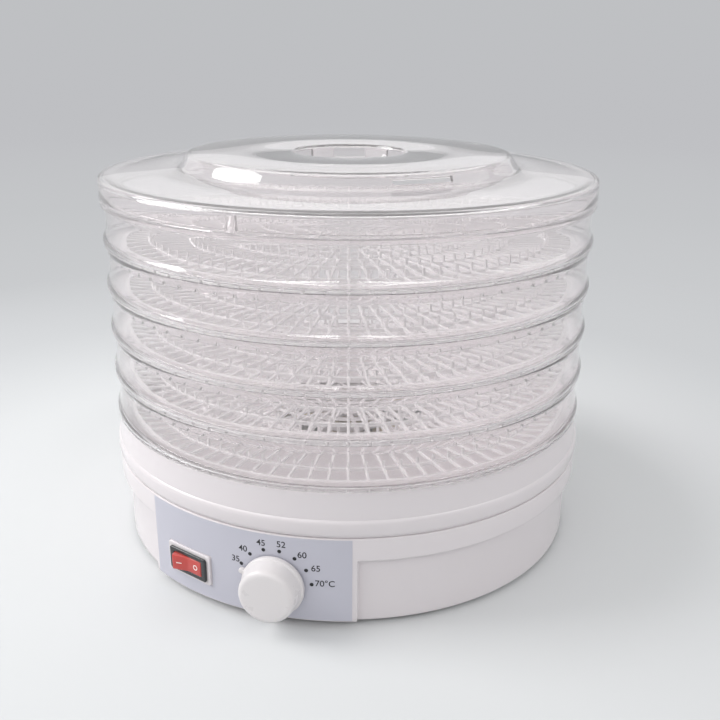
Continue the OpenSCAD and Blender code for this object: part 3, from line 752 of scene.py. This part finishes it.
make_lower_housing()
make_upper_housing()
SWITCH_PLACE = on_panel(SWITCH_ANGLE, SWITCH_H)
plate_with_hole("switch_surround", WHITE, rounded_rectangle(34.6, 20.0, 1.6),
                rounded_rectangle(2 * SWITCH_CUT[0], 2 * SWITCH_CUT[1], 0.4),
                -0.9, 1.6, SWITCH_PLACE, 0.45)
plate_with_hole("gland_pad", WHITE, rounded_rectangle(24.0, 24.0, 2.0),
                circle(GLAND_CUT_R), -2.3, 2.3, GLAND_PLACE, 0.5)

# ---------------------------------------------------------------- switch

SWITCH_MOUTH = (11.4, 5.1)
CAN_HALF = (13.5, 6.0)
CAN_FRONT, CAN_FLOOR, CAN_BACK = -0.95, 9.0, 16.0


def make_switch():
    mouth_x, mouth_z = SWITCH_MOUTH
    can_x, can_z = CAN_HALF
    bezel = plate_with_hole("switch_frame", SWITCH_BLACK,
                            rounded_rectangle(30.0, 15.4, 1.4),
                            rounded_rectangle(2 * mouth_x, 2 * mouth_z, 0.4),
                            -2.5, -0.9, SWITCH_PLACE, 0.6)
    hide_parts("switch_body")
    bm = bmesh.new()
    add_block(bm, (-can_x, CAN_FRONT, mouth_z), (can_x, CAN_BACK, can_z))
    add_block(bm, (-can_x, CAN_FRONT, -can_z), (can_x, CAN_BACK, -mouth_z))
    add_block(bm, (-can_x, CAN_FRONT, -mouth_z), (-mouth_x, CAN_BACK, mouth_z))
    add_block(bm, (mouth_x, CAN_FRONT, -mouth_z), (can_x, CAN_BACK, mouth_z))
    add_block(bm, (-mouth_x, CAN_FLOOR, -mouth_z), (mouth_x, CAN_BACK, mouth_z))
    mesh = finish_mesh(bm, "switch_can", SWITCH_BLACK, 0.2, 2)
    add_object(mesh, "switch_can", "base", (), SWITCH_PLACE)


ROCKER_TILT = math.radians(10.0)
ROCKER_REACH = 11.25
ROCKER_HALF_W = 4.9
ROCKER_PIVOT = 1.5
ROCKER_VALLEY = 2.7 + ROCKER_PIVOT
ROCKER_PEAK = ROCKER_VALLEY + ROCKER_REACH * math.tan(ROCKER_TILT)
VALLEY_ROUND = 0.12
TIP_ROUND = 0.93
MARK_OUT = 6.0
MARK_SINK = 0.02
RING_MARK = (1.15, 1.75)


def rocker_front(x):
    """How far out the rocker's face is at x: two slopes with a rounded valley and rounded tips."""
    away = abs(x) / ROCKER_REACH
    rise = ROCKER_PEAK - ROCKER_VALLEY
    y = ROCKER_VALLEY + rise * away
    if away < VALLEY_ROUND:
        y = ROCKER_VALLEY + rise * (VALLEY_ROUND / 2 + away * away / (2 * VALLEY_ROUND))
    if away > TIP_ROUND:
        y = min(y, max(math.sqrt(max(ROCKER_REACH ** 2 - x * x, 0.0)), 3.6))
    return y


def make_ring_mark(bm, spot):
    """Adds a thin flat ring that faces along the spot's Y axis."""
    n = 32
    rings = [[bm.verts.new(spot @ Vector((r * math.cos(2 * math.pi * k / n) * MM, d * MM,
                                          r * math.sin(2 * math.pi * k / n) * MM)))
              for k in range(n)]
             for r in RING_MARK for d in (-0.05, 0.05)]
    a, b, c, d = rings
    for k in range(n):
        j = (k + 1) % n
        bm.faces.new([a[k], a[j], c[j], c[k]])
        bm.faces.new([c[k], c[j], d[j], d[k]])
        bm.faces.new([d[k], d[j], b[j], b[k]])
        bm.faces.new([b[k], b[j], a[j], a[k]])


def make_rocker():
    """The rocker, with a bar printed on its raised half and a ring on the other."""
    place = (SWITCH_PLACE @ Matrix.Translation((0, ROCKER_PIVOT * MM, 0))
             @ Matrix.Rotation(ROCKER_TILT, 4, "Z"))
    bm = bmesh.new()
    steps = 24
    across = [-ROCKER_REACH + 2 * ROCKER_REACH * k / steps for k in range(steps + 1)]
    front = [(x, -rocker_front(x)) for x in across]
    back = [(ROCKER_REACH, 1.5), (6.0, 4.5), (-6.0, 4.5), (-ROCKER_REACH, 1.5)]
    outline = front + back
    top = [bm.verts.new((x * MM, y * MM, ROCKER_HALF_W * MM)) for x, y in outline]
    low = [bm.verts.new((x * MM, y * MM, -ROCKER_HALF_W * MM)) for x, y in outline]
    bm.faces.new(top)
    bm.faces.new(list(reversed(low)))
    n = len(outline)
    for k in range(n):
        j = (k + 1) % n
        bm.faces.new([top[j], top[k], low[k], low[j]])
    bmesh.ops.recalc_face_normals(bm, faces=bm.faces)
    mesh = finish_mesh(bm, "rocker_cap", ROCKER_RED, 0.45, 3, 35.0, 40.0)
    add_object(mesh, "rocker_cap", "switch_rocker", ("rocker",), place)

    slope = math.atan2(ROCKER_PEAK - ROCKER_VALLEY, ROCKER_REACH)
    out = -rocker_front(MARK_OUT) - MARK_SINK
    marks = bmesh.new()
    bar_spot = (Matrix.Translation((-MARK_OUT * MM, out * MM, 0))
                @ Matrix.Rotation(slope, 4, "Z"))
    bar = bmesh.ops.create_cube(marks, size=1.0)
    shape = Matrix.Diagonal((3.6 * MM, 0.1 * MM, 0.55 * MM, 1.0))
    bmesh.ops.transform(marks, verts=bar["verts"], matrix=bar_spot @ shape)
    make_ring_mark(marks, Matrix.Translation((MARK_OUT * MM, out * MM, 0))
                   @ Matrix.Rotation(-slope, 4, "Z"))
    bmesh.ops.recalc_face_normals(marks, faces=marks.faces)
    mesh = finish_mesh(marks, "rocker_marks", MARK_WHITE)
    add_object(mesh, "rocker_marks", "switch_rocker", (), place)


make_switch()
make_rocker()

# ---------------------------------------------------------------- knob

KNOB_PLACE = on_panel(DIAL_ANGLE, DIAL_H) @ Matrix.Rotation(math.pi / 2, 4, "X")


KNOB_BACK = 1.0
KNOB_NOSE = 16.0
FLANGE_R = 19.0
WELL_R = 9.0
SHAFT_R = 3.1
POINTER_TURN = math.radians(159.0)
POINTER_HALF = 1.6
POINTER_FROM, POINTER_TO = 17.2, 20.2
POINTER_TIP_R = 1.7


def make_knob():
    """A turned knob with a flange, a tapered grip and a well at its back, and a pointer."""
    back, nose = KNOB_BACK, KNOB_NOSE
    outline = [
        (WELL_R, back), (18.4, back), (18.85, back + 0.15), (FLANGE_R, back + 0.6),
        (FLANGE_R, back + 2.6), (18.85, back + 3.1), (18.55, back + 3.35), (18.2, back + 3.5),
        (18.05, back + 3.8), (17.95, back + 4.4), (17.0, nose - 3.0), (16.7, nose - 1.9),
        (16.15, nose - 1.0), (15.3, nose - 0.4), (14.2, nose - 0.08), (13.0, nose), (0.0, nose),
        (0.0, nose - 4.2), (SHAFT_R, nose - 4.2), (SHAFT_R, back + 5.5), (WELL_R, back + 5.5)]
    mesh = finish_mesh(lathe(outline, 128), "dial_knob", KNOB_WHITE, 0.0, 1, 40.0, 34.0)
    mesh.transform(KNOB_PLACE)
    add_object(mesh, "dial_knob", "dial", ("knob",))

    steps = 20
    outline = [(POINTER_FROM, -POINTER_HALF), (POINTER_TO, -POINTER_HALF)]
    for k in range(1, steps):
        a = math.radians(-90 + 180.0 * k / steps)
        outline.append((POINTER_TO + POINTER_TIP_R * math.cos(a), POINTER_HALF * math.sin(a)))
    outline += [(POINTER_TO, POINTER_HALF), (POINTER_FROM, POINTER_HALF)]
    bm = bmesh.new()
    low = [bm.verts.new((x * MM, y * MM, (back + 0.2) * MM)) for x, y in outline]
    top = [bm.verts.new((x * MM, y * MM, (back + 2.7) * MM)) for x, y in outline]
    bm.faces.new(list(reversed(low)))
    bm.faces.new(top)
    count = len(outline)
    for k in range(count):
        j = (k + 1) % count
        bm.faces.new([low[k], low[j], top[j], top[k]])
    mesh = finish_mesh(bm, "knob_pointer", KNOB_WHITE, 0.4, 3)
    mesh.transform(KNOB_PLACE @ Matrix.Rotation(POINTER_TURN, 4, "Z"))
    add_object(mesh, "knob_pointer", "dial")


make_knob()

# ---------------------------------------------------------------- printed numbers

NUMBERS = [("35", -24.1, 12.0), ("40", -19.0, 20.0), ("45", -7.4, 26.2), ("52", 4.8, 26.9),
           ("60", 17.0, 21.5), ("65", 24.9, 13.3), ("70°C", 30.1, 3.6)]
DIGIT_H = 3.9
CAP_SHARE = 0.7
LABEL_T = 0.3
INK_T = 0.06


def make_numbers():
    """The scale's numbers, bent round the label and printed as a thin film of ink."""
    for text, x, z in NUMBERS:
        curve = bpy.data.curves.new("number", "FONT")
        curve.body = text
        curve.align_x, curve.align_y = "CENTER", "CENTER"
        curve.size = DIGIT_H / CAP_SHARE
        curve.offset = 0.035
        maker = bpy.data.objects.new("number", curve)
        scene.collection.objects.link(maker)
        graph = bpy.context.evaluated_depsgraph_get()
        mesh = bpy.data.meshes.new_from_object(maker.evaluated_get(graph))
        bpy.data.objects.remove(maker)
        bm = bmesh.new()
        bm.from_mesh(mesh)
        bpy.data.meshes.remove(mesh)
        bmesh.ops.remove_doubles(bm, verts=bm.verts, dist=0.001)
        ret = bmesh.ops.extrude_face_region(bm, geom=list(bm.faces))
        lifted = {v for v in ret["geom"] if isinstance(v, bmesh.types.BMVert)}
        low_y = min(v.co.y for v in bm.verts)
        high_y = max(v.co.y for v in bm.verts)
        shift = (low_y + high_y) / 2
        for v in bm.verts:
            r = PANEL_R + LABEL_T + (INK_T if v in lifted else 0.0)
            angle = math.radians(DIAL_ANGLE - 90.0) + (x + v.co.x) / PANEL_R
            height = DIAL_H + z + v.co.y - shift
            v.co = Vector((r * math.cos(angle) * MM, r * math.sin(angle) * MM, height * MM))
        bmesh.ops.recalc_face_normals(bm, faces=bm.faces)
        made = bpy.data.meshes.new("number")
        bm.to_mesh(made)
        bm.free()
        made.materials.append(INK)
        name = "number_" + "".join(c for c in text if c.isdigit())
        add_object(made, name, "base")


make_numbers()

# ---------------------------------------------------------------- floor and light

BOWL_R = 5.0
BEND_FROM = 3.6
WALL_TOP = 2.2


def set_stops(node, stops):
    elements = node.color_ramp.elements
    while len(elements) < len(stops):
        elements.new(0.5)
    for element, (position, color) in zip(elements, stops):
        element.position = position
        element.color = (*color, 1.0)


def floor_paper():
    """Pale paper painted lighter near the object as a painted pool of light; further off it glows as
    painted light that fades with distance, up to a far wall that glows brighter higher up.
    """
    mat, tree, bsdf, coord, out = new_material("floor_paper")
    span = tree.nodes.new("ShaderNodeVectorMath")
    span.operation = "LENGTH"
    tree.links.new(coord.outputs["Object"], span.inputs[0])
    # Painted pool of light: the paper's colour is lighter close to the object and darker further off.
    painted_light_pool = tree.nodes.new("ShaderNodeValToRGB")
    tree.links.new(ranged(tree, span.outputs["Value"], 0.0, 1.2), painted_light_pool.inputs[0])
    set_stops(painted_light_pool, [(0.17, (0.66, 0.67, 0.675)), (0.42, (0.53, 0.54, 0.55)),
                      (1.0, (0.55, 0.56, 0.575))])
    tree.links.new(painted_light_pool.outputs[0], bsdf.inputs["Base Color"])
    split = tree.nodes.new("ShaderNodeSeparateXYZ")
    tree.links.new(coord.outputs["Object"], split.inputs[0])
    # Painted light falloff: the far floor's glow fades with distance from the object.
    painted_floor_falloff = tree.nodes.new("ShaderNodeValToRGB")
    tree.links.new(ranged(tree, span.outputs["Value"], 0.0, BEND_FROM), painted_floor_falloff.inputs[0])
    set_stops(painted_floor_falloff, [(0.08, (0.70, 0.71, 0.72)), (0.12, (0.635, 0.645, 0.66)),
                    (0.22, (0.585, 0.595, 0.61)), (0.36, (0.555, 0.565, 0.58)),
                    (0.72, (0.525, 0.53, 0.55))])
    # Painted wall glow: the far wall glows brighter the higher it goes.
    painted_wall_glow = tree.nodes.new("ShaderNodeValToRGB")
    tree.links.new(ranged(tree, split.outputs["Z"], 0.0, WALL_TOP), painted_wall_glow.inputs[0])
    set_stops(painted_wall_glow, [(0.02, (0.52, 0.525, 0.545)), (0.3, (0.52, 0.53, 0.545)),
                     (1.0, (0.83, 0.84, 0.85))])
    both = tree.nodes.new("ShaderNodeMix")
    both.data_type = "RGBA"
    tree.links.new(ranged(tree, span.outputs["Value"], BEND_FROM - 1.0, BEND_FROM), both.inputs[0])
    tree.links.new(painted_floor_falloff.outputs[0], both.inputs["A"])
    tree.links.new(painted_wall_glow.outputs[0], both.inputs["B"])
    # The far floor and wall glow by emission though they are no lamp (painted light), mixed in over the
    # lit paper from 0.28 m to 0.75 m out.
    wall = tree.nodes.new("ShaderNodeEmission")
    tree.links.new(both.outputs["Result"], wall.inputs["Color"])
    mix = tree.nodes.new("ShaderNodeMixShader")
    tree.links.new(ranged(tree, span.outputs["Value"], 0.28, 0.75), mix.inputs[0])
    tree.links.new(bsdf.outputs[0], mix.inputs[1])
    tree.links.new(wall.outputs[0], mix.inputs[2])
    tree.links.new(mix.outputs[0], out.inputs[0])
    bsdf.inputs["Roughness"].default_value = 0.9
    bsdf.inputs["Specular IOR Level"].default_value = 0.1
    return mat


def make_floor():
    """A seamless pale floor that turns up into a far wall all round."""
    flat = (0.0, 0.1, 0.2, 0.3, 0.4, 0.5, 0.7, 1.0, 1.5, 2.2, 3.0, BEND_FROM)
    profile = [(r, 0.0) for r in flat]
    bend = BOWL_R - BEND_FROM
    for k in range(1, 13):
        a = math.radians(90.0 * k / 12)
        profile.append((BEND_FROM + bend * math.sin(a), bend * (1 - math.cos(a))))
    profile.append((BOWL_R, WALL_TOP))
    bm = bmesh.new()
    n = 96
    rows = []
    for r, z in profile:
        if r == 0:
            rows.append([bm.verts.new((0, 0, z))] * n)
        else:
            rows.append([bm.verts.new((r * math.cos(2 * math.pi * k / n),
                                       r * math.sin(2 * math.pi * k / n), z)) for k in range(n)])
    for low, high in zip(rows, rows[1:]):
        for k in range(n):
            j = (k + 1) % n
            bm.faces.new(list(dict.fromkeys([low[k], high[k], high[j], low[j]])))
    bmesh.ops.recalc_face_normals(bm, faces=bm.faces)
    mesh = bpy.data.meshes.new("floor")
    bm.to_mesh(mesh)
    bm.free()
    mesh.shade_smooth()
    mesh.materials.append(floor_paper())
    floor = bpy.data.objects.new("floor", mesh)
    scene.collection.objects.link(floor)


def area_light(name, azimuth, elevation, distance, size, power, color=(1, 1, 1), aim=(0, 0, 0.13)):
    data = bpy.data.lights.new(name, "AREA")
    data.shape = "RECTANGLE"
    data.size, data.size_y = size
    data.energy = power
    data.color = color
    light = bpy.data.objects.new(name, data)
    scene.collection.objects.link(light)
    az, el = math.radians(azimuth), math.radians(elevation)
    spot = Vector((math.sin(az) * math.cos(el), -math.cos(az) * math.cos(el), math.sin(el)))
    target = Vector(aim)
    light.location = target + spot * distance
    light.rotation_euler = (target - light.location).to_track_quat("-Z", "Y").to_euler()
    light.visible_camera = False
    return light


def make_light():
    world = bpy.data.worlds.new("studio")
    world.use_nodes = True
    back = world.node_tree.nodes["Background"]
    back.inputs[0].default_value = (0.98, 0.99, 1.0, 1.0)
    back.inputs[1].default_value = 0.36
    scene.world = world
    facing = math.degrees(CAMERA_AZIMUTH)
    area_light("left_strip", facing - 44, 36, 1.8, (2.4, 0.16), 10.5)
    area_light("right_strip", facing + 44, 36, 1.8, (2.4, 0.16), 8.5)
    area_light("left_side", facing - 92, 33, 1.5, (0.8, 0.8), 16.0)
    area_light("right_side", facing + 88, 25, 1.5, (1.2, 1.2), 2.5)
    area_light("top_box", facing + 180, 72, 1.6, (2.4, 2.0), 11.5)
    area_light("back_panel", facing + 180, 24, 3.0, (4.5, 1.5), 4.0)


make_floor()
make_light()

scene.view_settings.view_transform = "Standard"
scene.view_settings.look = "None"
scene.cycles.max_bounces = 32
scene.cycles.transmission_bounces = 32
scene.cycles.glossy_bounces = 12
scene.cycles.diffuse_bounces = 5
scene.cycles.transparent_max_bounces = 64
scene.cycles.caustics_reflective = False
scene.cycles.caustics_refractive = False
